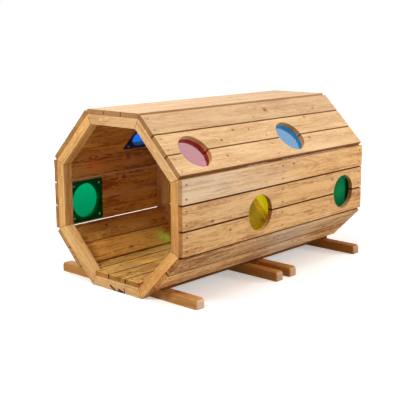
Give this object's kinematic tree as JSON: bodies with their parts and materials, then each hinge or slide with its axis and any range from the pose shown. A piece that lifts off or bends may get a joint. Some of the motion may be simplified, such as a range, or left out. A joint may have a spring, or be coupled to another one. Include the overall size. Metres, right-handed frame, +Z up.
{
  "type": "wooden sensory tunnel",
  "caption": "Eight-sided wooden crawl tunnel of boards on three mitred rings, with a board floor, cross feet and round coloured see-through windows.",
  "frame": {"origin": "on the ground, under the middle of the tunnel", "axes": "+Z up, +Y along the tunnel from its front opening to its rear opening, +X to the right-hand wall seen from the front"},
  "size_m": [0.8, 1.2, 0.7262],
  "materials": {
    "ring_wood": "oiled",
    "board_wood": "oiled",
    "floor_wood": "oiled",
    "foot_wood": "oiled",
    "green_acrylic": "polished, see-through",
    "blue_acrylic": "polished, see-through",
    "red_acrylic": "polished, see-through",
    "yellow_acrylic": "polished, see-through",
    "nail_steel": "dull",
    "screw_steel": "bright"
  },
  "bodies": {
    "root": {"board_left_1": "board_wood", "board_left_2": "board_wood", "board_left_3": "board_wood", "board_lower_left_1": "board_wood", "board_lower_left_2": "board_wood", "board_lower_right_1": "board_wood", "board_lower_right_2": "board_wood", "board_right_1": "board_wood", "board_right_2": "board_wood", "board_right_3": "board_wood", "board_top_1": "board_wood", "board_top_2": "board_wood", "board_top_3": "board_wood", "board_upper_left_1": "board_wood", "board_upper_left_2": "board_wood", "board_upper_left_3": "board_wood", "board_upper_right_1": "board_wood", "board_upper_right_2": "board_wood", "board_upper_right_3": "board_wood", "floor_board_left": "floor_wood", "floor_board_middle": "floor_wood", "floor_board_right": "floor_wood", "floor_strip_front_left": "floor_wood", "floor_strip_front_right": "floor_wood", "floor_strip_rear_left": "floor_wood", "floor_strip_rear_right": "floor_wood", "foot_front": "foot_wood", "foot_middle_front": "foot_wood", "foot_middle_rear": "foot_wood", "foot_rear": "foot_wood", "pane_left_front_green": "green_acrylic", "pane_left_rear_yellow": "yellow_acrylic", "pane_right_front_yellow": "yellow_acrylic", "pane_right_rear_green": "green_acrylic", "pane_upper_left_front_blue": "blue_acrylic", "pane_upper_left_rear_red": "red_acrylic", "pane_upper_right_front_red": "red_acrylic", "pane_upper_right_rear_blue": "blue_acrylic", "ring_front_bottom": "ring_wood", "ring_front_left": "ring_wood", "ring_front_lower_left": "ring_wood", "ring_front_lower_right": "ring_wood", "ring_front_right": "ring_wood", "ring_front_top": "ring_wood", "ring_front_upper_left": "ring_wood", "ring_front_upper_right": "ring_wood", "ring_middle_base": "ring_wood", "ring_middle_left": "ring_wood", "ring_middle_right": "ring_wood", "ring_middle_top": "ring_wood", "ring_middle_upper_left": "ring_wood", "ring_middle_upper_right": "ring_wood", "ring_rear_bottom": "ring_wood", "ring_rear_left": "ring_wood", "ring_rear_lower_left": "ring_wood", "ring_rear_lower_right": "ring_wood", "ring_rear_right": "ring_wood", "ring_rear_top": "ring_wood", "ring_rear_upper_left": "ring_wood", "ring_rear_upper_right": "ring_wood"}
  },
  "joints": []
}
